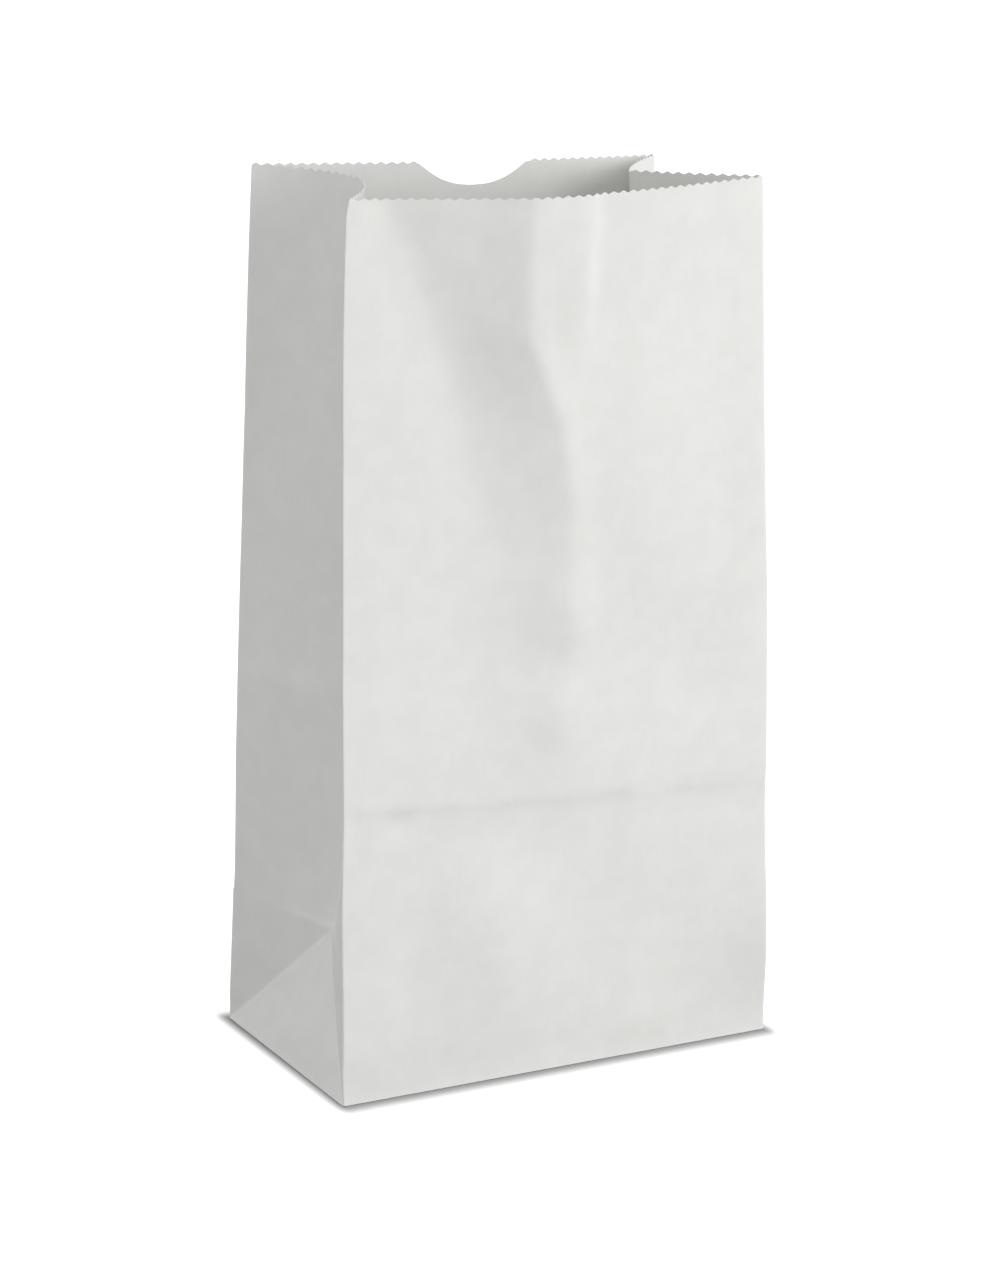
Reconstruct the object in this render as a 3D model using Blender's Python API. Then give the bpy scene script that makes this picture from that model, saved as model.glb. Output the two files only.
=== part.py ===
"""Paper lunch bag, opened and standing on its square bottom.

One sheet of white kraft paper, folded and glued: a lapped seam up the rear panel, a gusset with a centre
crease in each side, a bottom of four folded flaps, pinked cut edges and a thumb notch in the rear panel.
The front panel faces -Y. The origin is the middle of the bottom's underside.
"""

import math

import bmesh
import bpy
from mathutils import Vector

# The bag as it is cut and folded, in metres
BAG_WIDTH = 0.1524
BAG_DEPTH = 0.0921
BAG_HEIGHT = 0.281
PAPER = 0.0001
SEAM_LAP = 0.012
FLAP_OVERLAP = 0.024
TOOTH_PITCH = 0.00381
TOOTH_DEPTH = 0.001
NOTCH_WIDTH = 0.042
NOTCH_DEPTH = 0.0079
NOTCH_OFFSET = 0.0013
NOTCH_ROUNDNESS = 2.3

# The bag as it stands open: how far its folds have opened and where its panels lean
FOOT_FOLD = math.radians(21.0)
MOUTH_FOLD = math.radians(40.3)
FOLD_CURVE = 0.55
FRONT_LEAN = 0.0096
FRONT_LEAN_CURVE = 1.4
LEFT_LEAN = 0.0081
RIGHT_LEAN = -0.0007
SIDE_LEAN_CURVE = 2.5
LEFT_LIP = 0.0042
RIGHT_LIP = 0.0019
LEFT_SLACK = 0.30
RIGHT_SLACK = 0.04
GUSSET_BOW = 0.55
FRONT_BULGE = 0.0105
REAR_HOLLOW = 0.008
BULGE_CURVE = 1.6
RIDGE_AT = 0.45
RIDGE_LEFT_CURVE = 1.9
RIDGE_RIGHT_CURVE = 1.1
MOUTH_SAG = 0.0012
FRONT_CREASE_PROUD = 0.0012
REAR_CREASE_DIP = 0.0004
CREASE_REACH = 0.045

# How finely the sheet is divided
TEETH_PER_COLUMN = 2
FOOT_ROWS = 3
RIM_BAND = 0.014
WALL_ROWS = 9

PAPER_COLOUR = (0.79, 0.79, 0.77, 1.0)
PAPER_ROUGHNESS = 0.85
SHARP_ANGLE = math.radians(15)
SEAM_FACING = 0.5

HALF_WIDTH = BAG_WIDTH / 2
HALF_DEPTH = BAG_DEPTH / 2
# Round the flat tube from its left rear fold: where the front, right side and rear start, and where it ends
FRONT_START = BAG_DEPTH
RIGHT_START = FRONT_START + BAG_WIDTH
REAR_START = RIGHT_START + BAG_DEPTH
REAR_MIDDLE = REAR_START + HALF_WIDTH
ALL_ROUND = REAR_START + BAG_WIDTH
PANEL_ENDS = (0.0, FRONT_START, RIGHT_START, REAR_START, ALL_ROUND)
# Paper layers between the sheet of the walls and the ground: front flap, rear flap and the seam on it
LAYERS_BELOW = 3
BASE_LEVEL = LAYERS_BELOW * PAPER
# Points closer than this are the same point
NEAR = PAPER / 10


def empty_scene():
    for old in list(bpy.data.objects):
        bpy.data.objects.remove(old, do_unlink=True)


def mix(a, b, t):
    return a + (b - a) * t


def climb(v):
    """0 up to the gusset's lowest fold, then rising to 1 at the mouth."""
    return max(0.0, (v - HALF_DEPTH) / (BAG_HEIGHT - HALF_DEPTH))


def fold_angle(v):
    """How far each half of a gusset is turned out of the side's plane, above the foot."""
    return mix(FOOT_FOLD, MOUTH_FOLD, climb(v) ** FOLD_CURVE)


def half_depth(v):
    if v < HALF_DEPTH:
        return HALF_DEPTH * mix(1.0, math.cos(FOOT_FOLD), v / HALF_DEPTH)
    return HALF_DEPTH * math.cos(fold_angle(v))


def near_crease(v, crease):
    """1 on a crossways crease, falling to 0 a little above and below it."""
    return max(0.0, 1 - abs(v - crease) / CREASE_REACH)


def corner(side_x, side_y, v):
    """A point of one of the four upright folds, at the height v along the paper."""
    w = climb(v)
    front_y = -HALF_DEPTH + FRONT_LEAN * w**FRONT_LEAN_CURVE
    lean = LEFT_LEAN if side_x < 0 else RIGHT_LEAN
    x = side_x * (HALF_WIDTH - lean * w**SIDE_LEAN_CURVE)
    if side_y < 0:
        return Vector((x, front_y - FRONT_CREASE_PROUD * near_crease(v, BAG_DEPTH), v))
    rear_y = front_y + 2 * half_depth(v) - REAR_CREASE_DIP * near_crease(v, HALF_DEPTH)
    lip = LEFT_LIP if side_x < 0 else RIGHT_LIP
    return Vector((x, rear_y, v * (1 + lip / BAG_HEIGHT)))


def tucked_crease(side_x, v):
    """A point of a gusset's centre crease, at or above the tip of the foot's triangle."""
    w = climb(v)
    slack = LEFT_SLACK if side_x < 0 else RIGHT_SLACK
    middle = (corner(side_x, -1, v) + corner(side_x, 1, v)) / 2
    tuck = HALF_DEPTH * math.sin(fold_angle(v)) * (1 - slack * w * w)
    height = mix(HALF_DEPTH * math.cos(FOOT_FOLD), BAG_HEIGHT, w)
    return Vector((middle.x - side_x * tuck, middle.y, height))


def gusset_half(side_x, side_y, share, v):
    """A point between an upright fold and the centre crease. Slack bows it towards its panel."""
    edge = corner(side_x, side_y, v)
    centre = tucked_crease(side_x, v)
    chord = centre - edge
    length = math.hypot(chord.x, chord.y)
    bow = GUSSET_BOW * math.sqrt(3 * length * max(0.0, HALF_DEPTH - length) / 8)
    across = Vector((-chord.y, chord.x, 0)) * (-side_x * side_y / length)
    return edge + chord * share + across * bow * 4 * share * (1 - share)


def gusset(side_x, s, v):
    """A point of a gusset, s from its front fold and v up the paper."""
    from_fold = min(s, BAG_DEPTH - s)
    side_y = -1 if s < HALF_DEPTH else 1
    if v >= HALF_DEPTH:
        return gusset_half(side_x, side_y, from_fold / HALF_DEPTH, v)
    tip = tucked_crease(side_x, HALF_DEPTH)
    front = corner(side_x, -1, 0).lerp(tip, v / HALF_DEPTH)
    rear = corner(side_x, 1, 0).lerp(tip, v / HALF_DEPTH)
    if from_fold >= v:
        return front.lerp(rear, (s - v) / (BAG_DEPTH - 2 * v))
    crease = front if side_y < 0 else rear
    return corner(side_x, side_y, v).lerp(crease, from_fold / v)


def ridge(share):
    """The front panel's bulge across its width: a soft rise from the left to a crest, then a long fall."""
    if share < RIDGE_AT:
        return (share / RIDGE_AT) ** RIDGE_LEFT_CURVE
    return ((1 - share) / (1 - RIDGE_AT)) ** RIDGE_RIGHT_CURVE


def panel(side_y, s, v):
    """A point of the front or rear panel, s from its left fold and v up the paper."""
    share = s / BAG_WIDTH
    arch = 4 * share * (1 - share)
    grown = climb(v) ** BULGE_CURVE
    point = corner(-1, side_y, v).lerp(corner(1, side_y, v), share)
    if side_y > 0:
        point.y -= REAR_HOLLOW * grown * arch
    else:
        point.y -= FRONT_BULGE * grown * ridge(share)
        point.z -= MOUTH_SAG * grown * arch
    return point


def folded(u, v):
    """Where the flat tube's point lands: u runs round the bag from its left rear fold, v up."""
    if u <= FRONT_START:
        point = gusset(-1, FRONT_START - u, v)
    elif u <= RIGHT_START:
        point = panel(-1, u - FRONT_START, v)
    elif u <= REAR_START:
        point = gusset(1, u - RIGHT_START, v)
    else:
        point = panel(1, ALL_ROUND - u, v)
    return point + Vector((0, 0, BASE_LEVEL))


def spread(start, end, count):
    return [mix(start, end, i / count) for i in range(1, count + 1)]


def column_positions():
    """Upright lines of the flat tube. Each column is a whole number of teeth wide."""
    column = TEETH_PER_COLUMN * TOOTH_PITCH
    wide = max(2, round(BAG_WIDTH / column))
    side = 2 * max(1, round(BAG_DEPTH / (2 * column)))
    positions = [0.0]
    for start, end, count in zip(PANEL_ENDS, PANEL_ENDS[1:], (side, wide, side, wide)):
        positions += spread(start, end, count)
    return positions


def row_positions():
    rows = [0.0]
    rows += spread(0, HALF_DEPTH, FOOT_ROWS)
    rows += spread(HALF_DEPTH, BAG_DEPTH, FOOT_ROWS - 1)
    rows += spread(BAG_DEPTH, BAG_HEIGHT - RIM_BAND, WALL_ROWS)
    return rows + [BAG_HEIGHT]


def flat_tube():
    """The tube of paper cut open at its left rear fold and laid flat: X round the bag, Y up it."""
    sheet = bmesh.new()
    lines = [[sheet.verts.new((u, v, 0)) for u in column_positions()] for v in row_positions()]
    for low, high in zip(lines, lines[1:]):
        for i in range(len(low) - 1):
            sheet.faces.new((low[i], low[i + 1], high[i + 1], high[i]))
    return sheet


def score(sheet, faces, through, direction):
    """Cut an edge across the given faces, along the line through a point."""
    edges = {edge for face in faces for edge in face.edges}
    verts = {vert for face in faces for vert in face.verts}
    normal = Vector((-direction[1], direction[0], 0))
    bmesh.ops.bisect_plane(
        sheet, geom=[*verts, *edges, *faces], dist=1e-6, plane_co=through, plane_no=normal
    )


def faces_within(sheet, low, high):
    """Faces whose middle lies in a box, given by its lowest and highest X and Y."""
    chosen = []
    for face in sheet.faces:
        x, y, _ = face.calc_center_median()
        if low[0] < x < high[0] and low[1] < y < high[1]:
            chosen.append(face)
    return chosen


def score_gussets(sheet):
    """The two slanting creases from the bottom's corners that let each gusset open into the foot."""
    for start in (0.0, RIGHT_START):
        middle = start + HALF_DEPTH
        end = start + BAG_DEPTH
        rising = faces_within(sheet, (start, 0), (middle, HALF_DEPTH))
        score(sheet, rising, (start, 0, 0), (1, 1))
        falling = faces_within(sheet, (middle, 0), (end, HALF_DEPTH))
        score(sheet, falling, (end, 0, 0), (1, -1))


def seam_edges():
    """Where the lap's two edges lie on the rear panel of the flat tube."""
    return REAR_MIDDLE - SEAM_LAP / 2, REAR_MIDDLE + SEAM_LAP / 2


def score_seam(sheet):
    for u in seam_edges():
        faces = faces_within(sheet, (REAR_START, 0), (ALL_ROUND, BAG_HEIGHT))
        score(sheet, faces, (u, 0, 0), (0, 1))


def tooth_drop(distance, width):
    """How far a pinked edge lies below its tips, at a distance along a panel of this width."""
    pitch = width / (TEETH_PER_COLUMN * max(1, round(width / (TEETH_PER_COLUMN * TOOTH_PITCH))))
    return TOOTH_DEPTH * abs(2 * (distance / pitch % 1) - 1)


def notch_drop(u):
    """How far the thumb notch is cut down into the rear panel."""
    x = REAR_MIDDLE - u
    out = abs(x - NOTCH_OFFSET) / (NOTCH_WIDTH / 2)
    return NOTCH_DEPTH * max(0.0, 1 - out**NOTCH_ROUNDNESS)


def mouth_drop(u):
    """How far the mouth is cut below the bag's full height. Each panel has a whole number of teeth."""
    start, end = next(ends for ends in zip(PANEL_ENDS, PANEL_ENDS[1:]) if u <= ends[1] + NEAR)
    return max(tooth_drop(u - start, end - start), notch_drop(u))


def pink_mouth(sheet):
    """Cut the mouth: two edges for each tooth, then each point drops to the knife's line."""
    rim = [edge for edge in sheet.edges if all(abs(vert.co.y - BAG_HEIGHT) < NEAR for vert in edge.verts)]
    bmesh.ops.subdivide_edges(sheet, edges=rim, cuts=2 * TEETH_PER_COLUMN - 1)
    for vert in sheet.verts:
        if abs(vert.co.y - BAG_HEIGHT) < NEAR:
            vert.co.y -= mouth_drop(vert.co.x)


def fold_up(sheet):
    """Take the flat tube to its standing shape and close it at its left rear fold."""
    for vert in sheet.verts:
        vert.co = folded(vert.co.x, vert.co.y)
    bmesh.ops.remove_doubles(sheet, verts=sheet.verts, dist=NEAR)


def on_floor(element):
    return all(abs(vert.co.z - BASE_LEVEL) < NEAR for vert in element.verts)


def floor_faces(sheet, low, high):
    return [face for face in faces_within(sheet, low, high) if on_floor(face)]


def floor_size():
    """Half of: the width between the slanting ends, the side flaps' gap, and the long flaps' overlap."""
    ends = HALF_WIDTH - HALF_DEPTH
    overlap = FLAP_OVERLAP / 2
    return ends, ends - overlap, overlap


def close_foot(sheet):
    """Span the foot with one face and score it where its four flaps end and where the seam crosses it."""
    ring = [edge for edge in sheet.edges if edge.is_boundary and on_floor(edge)]
    bmesh.ops.contextual_create(sheet, geom=ring)
    ends, gap, overlap = floor_size()
    far = (HALF_WIDTH, HALF_DEPTH)
    score(sheet, floor_faces(sheet, (-far[0], -far[1]), far), (0, 0, 0), (1, 0))
    for side_y in (-1, 1):
        low, high = ((-far[0], -far[1]), (far[0], 0)) if side_y < 0 else ((-far[0], 0), far)
        for side_x in (-1, 1):
            score(sheet, floor_faces(sheet, low, high), (side_x * ends, 0, 0), (side_x, side_y))
        between = floor_faces(sheet, (-gap, low[1]), (gap, high[1]))
        score(sheet, between, (0, side_y * overlap, 0), (1, 0))
    for side_x in (-1, 1):
        strip = floor_faces(sheet, (-gap, -overlap), (gap, 0))
        score(sheet, strip, (side_x * ends, 0, 0), (side_x, 1))
    for x in (-gap, gap):
        score(sheet, floor_faces(sheet, (-ends, -far[1]), (ends, far[1])), (x, 0, 0), (0, 1))
    for x in (-SEAM_LAP / 2, SEAM_LAP / 2):
        score(sheet, floor_faces(sheet, (-gap, -overlap), (gap, far[1])), (x, 0, 0), (0, 1))


def pink_line(sheet, axis, value, reach, outward):
    """Cut teeth into a flap's free edge: the floor's edges on a line across the axis, within reach."""
    other = 1 - axis
    line = []
    for edge in sheet.edges:
        on_line = on_floor(edge) and all(abs(vert.co[axis] - value) < NEAR for vert in edge.verts)
        if on_line and all(abs(vert.co[other]) < reach + NEAR for vert in edge.verts):
            line.append(edge)
    for edge in line:
        teeth = max(1, round(edge.calc_length() / TOOTH_PITCH))
        cut = bmesh.ops.subdivide_edges(sheet, edges=[edge], cuts=2 * teeth - 1)
        fresh = [item for item in cut["geom_inner"] if isinstance(item, bmesh.types.BMVert)]
        fresh.sort(key=lambda vert: vert.co[other])
        for vert in fresh[::2]:
            vert.co[axis] += outward * TOOTH_DEPTH


def pink_flaps(sheet):
    _, gap, overlap = floor_size()
    pink_line(sheet, 1, -overlap, gap, -1)
    pink_line(sheet, 1, overlap, gap, 1)
    pink_line(sheet, 0, -gap, HALF_DEPTH, 1)
    pink_line(sheet, 0, gap, HALF_DEPTH, -1)


def thicken(sheet):
    """Give the sheet its thickness, inwards."""
    bmesh.ops.recalc_face_normals(sheet, faces=sheet.faces)
    bmesh.ops.solidify(sheet, geom=sheet.faces[:], thickness=PAPER)
    bmesh.ops.recalc_face_normals(sheet, faces=sheet.faces)


def lay(sheet, faces, offset):
    """Raise or sink some faces by a layer of paper, with a step at their edge."""
    raised = bmesh.ops.extrude_face_region(sheet, geom=faces)["geom"]
    bmesh.ops.delete(sheet, geom=faces, context="FACES")
    verts = [item for item in raised if isinstance(item, bmesh.types.BMVert)]
    bmesh.ops.translate(sheet, verts=verts, vec=offset)


def level_faces(sheet, level, facing, inside):
    """Flat faces of the bottom at a level, facing up or down, inside a region of the floor."""
    chosen = []
    for face in sheet.faces:
        x, y, _ = face.calc_center_median()
        flat = all(abs(vert.co.z - level) < NEAR for vert in face.verts)
        if flat and face.normal.z * facing > 0 and inside(x, y):
            chosen.append(face)
    return chosen


def on_rear_flap(x, y):
    ends, _, overlap = floor_size()
    return y > -overlap and abs(x) < ends + y


def on_long_flaps(x, y):
    ends, _, _ = floor_size()
    return abs(x) < ends + abs(y)


def on_seam(x, y):
    return on_rear_flap(x, y) and abs(x) < SEAM_LAP / 2


def between_side_flaps(x, y):
    return abs(x) < floor_size()[1]


def beyond_front_flap(x, y):
    return between_side_flaps(x, y) and y > floor_size()[2]


def layer_bottom(sheet):
    """The layers of the folded bottom.

    From below: the seam, the rear flap, the front flap, then the side flaps. From above, the front flap shows
    between the side flaps, and the rear flap beyond its free edge.
    """
    down = (0, 0, -PAPER)
    lay(sheet, level_faces(sheet, BASE_LEVEL, -1, on_long_flaps), down)
    lay(sheet, level_faces(sheet, BASE_LEVEL - PAPER, -1, on_rear_flap), down)
    lay(sheet, level_faces(sheet, BASE_LEVEL - 2 * PAPER, -1, on_seam), down)
    lay(sheet, level_faces(sheet, BASE_LEVEL + PAPER, 1, between_side_flaps), down)
    lay(sheet, level_faces(sheet, BASE_LEVEL, 1, beyond_front_flap), down)


def mark_seam(sheet):
    """Remember the faces of the lap, which stay the same paper wherever the sheet is folded."""
    mark = sheet.faces.layers.int.new("seam")
    low, high = seam_edges()
    for face in faces_within(sheet, (low, 0), (high, BAG_HEIGHT)):
        face[mark] = 1


def layer_seam(sheet):
    """The lap up the outside of the rear panel."""
    mark = sheet.faces.layers.int["seam"]
    lap = [face for face in sheet.faces if face[mark] and face.normal.y > SEAM_FACING]
    lay(sheet, lap, (0, PAPER, 0))


def paper_material():
    material = bpy.data.materials.new("white_kraft_paper")
    material.use_nodes = True
    shader = material.node_tree.nodes["Principled BSDF"]
    shader.inputs["Base Color"].default_value = PAPER_COLOUR
    shader.inputs["Roughness"].default_value = PAPER_ROUGHNESS
    shader.inputs["Metallic"].default_value = 0.0
    return material


def make_bag():
    sheet = flat_tube()
    score_gussets(sheet)
    score_seam(sheet)
    mark_seam(sheet)
    pink_mouth(sheet)
    fold_up(sheet)
    close_foot(sheet)
    pink_flaps(sheet)
    thicken(sheet)
    layer_bottom(sheet)
    layer_seam(sheet)
    bmesh.ops.triangulate(sheet, faces=sheet.faces[:])
    mesh = bpy.data.meshes.new("paper_bag")
    sheet.to_mesh(mesh)
    sheet.free()
    mesh.materials.append(paper_material())
    mesh.shade_smooth()
    mesh.set_sharp_from_angle(angle=SHARP_ANGLE)
    bag = bpy.data.objects.new("paper_bag", mesh)
    bpy.context.scene.collection.objects.link(bag)
    return bag


def main():
    empty_scene()
    make_bag()


if __name__ == "__main__":
    main()
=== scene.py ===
"""White paper lunch bag, standing open: one folded sheet with pinked edges, on a pale studio floor."""

import math

import bmesh
import bpy
import numpy as np
from bpy.props import FloatProperty, FloatVectorProperty, IntProperty, PointerProperty
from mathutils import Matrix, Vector


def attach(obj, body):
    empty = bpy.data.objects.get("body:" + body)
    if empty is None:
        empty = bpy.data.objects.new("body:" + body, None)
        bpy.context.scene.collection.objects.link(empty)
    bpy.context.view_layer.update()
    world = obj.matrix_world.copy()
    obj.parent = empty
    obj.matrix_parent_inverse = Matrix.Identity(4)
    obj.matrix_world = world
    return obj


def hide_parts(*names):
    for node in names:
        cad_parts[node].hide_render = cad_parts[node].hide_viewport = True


bl_info = {
    "name": "Paper Lunch Bag",
    "version": (1, 0, 0),
    "blender": (4, 5, 0),
    "location": "View3D > Sidebar > Paper Bag",
    "description": "Folds a gusseted paper bag from one sheet and sets it on a studio floor",
    "category": "Add Mesh",
}

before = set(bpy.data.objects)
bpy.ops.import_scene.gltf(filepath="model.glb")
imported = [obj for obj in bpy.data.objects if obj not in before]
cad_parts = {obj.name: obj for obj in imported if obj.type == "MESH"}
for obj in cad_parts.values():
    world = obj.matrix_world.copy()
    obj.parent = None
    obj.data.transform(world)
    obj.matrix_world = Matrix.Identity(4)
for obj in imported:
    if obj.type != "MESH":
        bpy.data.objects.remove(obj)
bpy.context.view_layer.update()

# How far the bag's folds have opened, from the foot to the mouth, and how its panels lean
FOOT_FOLD = math.radians(21.0)
MOUTH_FOLD = math.radians(40.3)
FOLD_CURVE = 0.55
FRONT_LEAN_CURVE = 1.4
SIDE_LEAN_CURVE = 2.5
BULGE_CURVE = 1.6
RIGHT_LEAN = -0.0007

# How slack the gussets hang at the mouth, as a share of their tuck, and how much of it bows each half
LEFT_SLACK = 0.30
RIGHT_SLACK = 0.04
FRONT_BOW = 0.28
REAR_BOW = 0.6

# How far the rear half of the left gusset bellies out, and where
LEFT_BELLY = 0.0018
BELLY_UP = 0.155
BELLY_REACH = 0.11

# Dents and bumps of the upright folds where storage creased the bag across
FRONT_CREASE_PROUD = 0.0012
REAR_CREASE_DIP = 0.0003
CREASE_REACH = 0.045

# How far the front folds swell near the foot, and where
LEFT_SWELL = 0.0009
LEFT_SWELL_UP = 0.018
LEFT_SWELL_END = 0.09
RIGHT_SWELL = 0.004
RIGHT_SWELL_UP = 0.036
RIGHT_SWELL_REACH = 0.05
RIGHT_SWELL_CURVE = 8

# How far the front left fold flares at the mouth, and over what height
CORNER_FLARE = 0.0007
FLARE_BAND = 0.006

# How far the upright folds wander sideways, in millimetres, at these heights in millimetres. The first of a
# fold's two signs is negative on the left, the second in front.
MM_PER_METRE = 1000
WANDER_UP = (0, 10, 35, 60, 90, 115, 145, 170, 205, 240, 281)
WANDER = {
    (-1, -1): (-0.9, -1.4, -1.0, -1.0, -0.1, 0.4, 1.0, 1.1, 0.9, 0.2, -0.2),
    (1, -1): (0.7, 0.4, -1.2, -1.0, -0.1, 0.5, 1.1, 0.6, 0.2, 0.1, 0.0),
    (-1, 1): (0.0, -0.5, -0.6, -0.8, -0.8, -0.4, 0.1, 0.5, 0.7, 0.3, -0.4),
    (1, 1): (0.3, 0.5, 0.2, 0.0, -0.2, 0.1, 0.4, 0.3, 0.0, 0.2, 1.2),
}

# The front panel's crest and the valley left of it, as places up and across the panel
CREST_UP = (0.107, 0.134, 0.186, 0.209, 0.238, 0.281)
CREST_ACROSS = (0.074, 0.0755, 0.077, 0.073, 0.060, 0.059)
VALLEY_UP = (0.046, 0.175, 0.210, 0.241, 0.258, 0.269, 0.281)
VALLEY_ACROSS = (0.028, 0.052, 0.041, 0.032, 0.024, 0.019, 0.013)
VALLEY_SOFTNESS = 0.004
RIDGE_RIGHT_CURVE = 0.8

# The raised line along the crest: its height, how far it reaches to both sides and how it fades in upwards
CREST_LINE = 0.0008
CREST_LINE_LEFT = 0.02
CREST_LINE_RIGHT = 0.012
CREST_LINE_FADE = 0.06

# The wavy crease across the front panel: its height at both ends, and the step that it leaves in the paper
CREASE_LEFT = 0.0955
CREASE_RIGHT = 0.0868
CREASE_WANDER = 0.0011
CREASE_STEP = 0.00032
CREASE_STEP_WIDTH = 0.005
CREASE_STEP_FADE = 0.03
CREASE_UNEVENNESS = 0.6

# Soft swells and dents of the front panel, in millimetres: place across and up, reach to the left, right,
# down and up, and height
SWELLS = (
    (79.0, 262.0, 22.0, 8.0, 46.0, 60.0, 2.1),
    (76.0, 149.0, 18.0, 15.0, 22.0, 21.0, 1.4),
    (74.0, 118.0, 18.0, 15.0, 20.0, 18.0, 1.3),
    (100.0, 196.0, 24.0, 50.0, 60.0, 56.0, 0.6),
    (124.0, 126.0, 30.0, 22.0, 26.0, 34.0, -1.2),
    (51.0, 48.0, 32.0, 36.0, 54.0, 38.0, 2.6),
    (105.0, 11.0, 22.0, 18.0, 11.0, 16.0, 0.5),
    (19.0, 88.0, 6.0, 8.0, 7.0, 6.0, -0.5),
)

# Seeded noise over the sheet: cells of its grid, cells by which it is shifted, and their size round and up
NOISE_GRID = 64
NOISE_SHIFT = 20
WIDE_CELL = (0.034, 0.060)
MIDDLING_CELL = (0.015, 0.036)
FINE_CELL = (0.006, 0.016)
WANDER_CELL = (0.012, 1.0)

# How high the cockling stands, and how far from folds, ground and front folds the paper's relief fades in
WIDE_COCKLE = 0.0008
MIDDLING_COCKLE = 0.0003
FINE_COCKLE = 0.00007
COCKLE_FADE = 0.018
FOOT_FADE = 0.012
SWELL_FADE = 0.004

# How finely the sheet is divided, in metres
ROW_PITCH = 0.0022
CREASE_ROW_PITCH = 0.001
CREASE_BAND = 0.008
FOLD_RADIUS = 0.0008
SCORE_HALF_WIDTH = 0.0006
RIM_BAND = 0.016
LEAST_GAP = 0.0002

# How far from a point its facing is measured, and the sizes below which a cut, a length or an area is nothing
NORMAL_REACH = 0.0004
CUT_PRECISION = 1e-6
TINY_LENGTH = 1e-9
TINY_AREA = 1e-12

# Which faces count as level and which as facing the rear, and where shading breaks
LEVEL_FACING = 0.9
REAR_FACING = 0.5
SHARP_ANGLE = math.radians(50)

# Paper layers between the walls' sheet and the floor: front flap, rear flap and the seam on it
LAYERS_BELOW = 3

# Where the bottom's middle lies on the sheet's own map, below the foot
BOTTOM_ON_MAP = -0.05

# How far the painted highlight along a fold reaches, its colour, how much of it shows, and a distance past
# any highlight
FOLD_HIGHLIGHT_REACH = 0.0014
FOLD_HIGHLIGHT_COLOUR = (0.86, 0.86, 0.85, 1.0)
FOLD_HIGHLIGHT_SHARE = 0.35
BEYOND_FOLD_HIGHLIGHT = 1.0

# The paper's clouds, upright streaks and fibres: scales per metre, and how they mix
CLOUD_SHARE = 0.75
THIN_LOW = 0.36
THIN_HIGH = 0.66
STREAK_STRETCH = (1.0, 0.09, 1.0)
STREAK_SCALE = 900.0
STREAK_ROUGHNESS = 0.12
FIBRE_SCALE = 2400.0
FIBRE_DISTORTION = 1.2
RELIEF_MIX = (0.5, 0.3, 0.2)
RELIEF_DEPTH = 0.00012
RELIEF_STRENGTH = 0.35
PAPER_SPECULAR = 0.3

# The studio's floor: grey, and glowing white to the camera beyond a band round the bag. That band is a
# painted shadow, in which the floor's real shadow also shows, and a distance in front of the bag counts less
# towards it than one beside it.
WHITE = (1.0, 1.0, 1.0, 1.0)
FLOOR_REACH = 6.0
FLOOR_COLOUR = (0.38, 0.38, 0.38, 1.0)
FLOOR_ROUGHNESS = 0.95
PAINTED_SHADOW_BAND = 0.006
PAINTED_SHADOW_STRETCH = 0.3

# The surroundings' light from the sides and what is added straight above
LEVEL_AROUND = 0.7
LEVEL_OVERHEAD = 1.2

# Lights and camera, in metres from the middle of the bag's foot. A light's size is its disk's diameter.
LIGHT_TARGET = (0.0, 0.0, 0.14)
KEY_PLACE = (1.4, -1.72, 0.4)
KEY_SIZE = 2.4
FILL_PLACE = (-1.55, -0.35, 0.35)
FILL_SIZE = 1.2
CAMERA_TARGET = (0.0021, 0.0, 0.130)
FILM_WIDTH = 36.0


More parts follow.
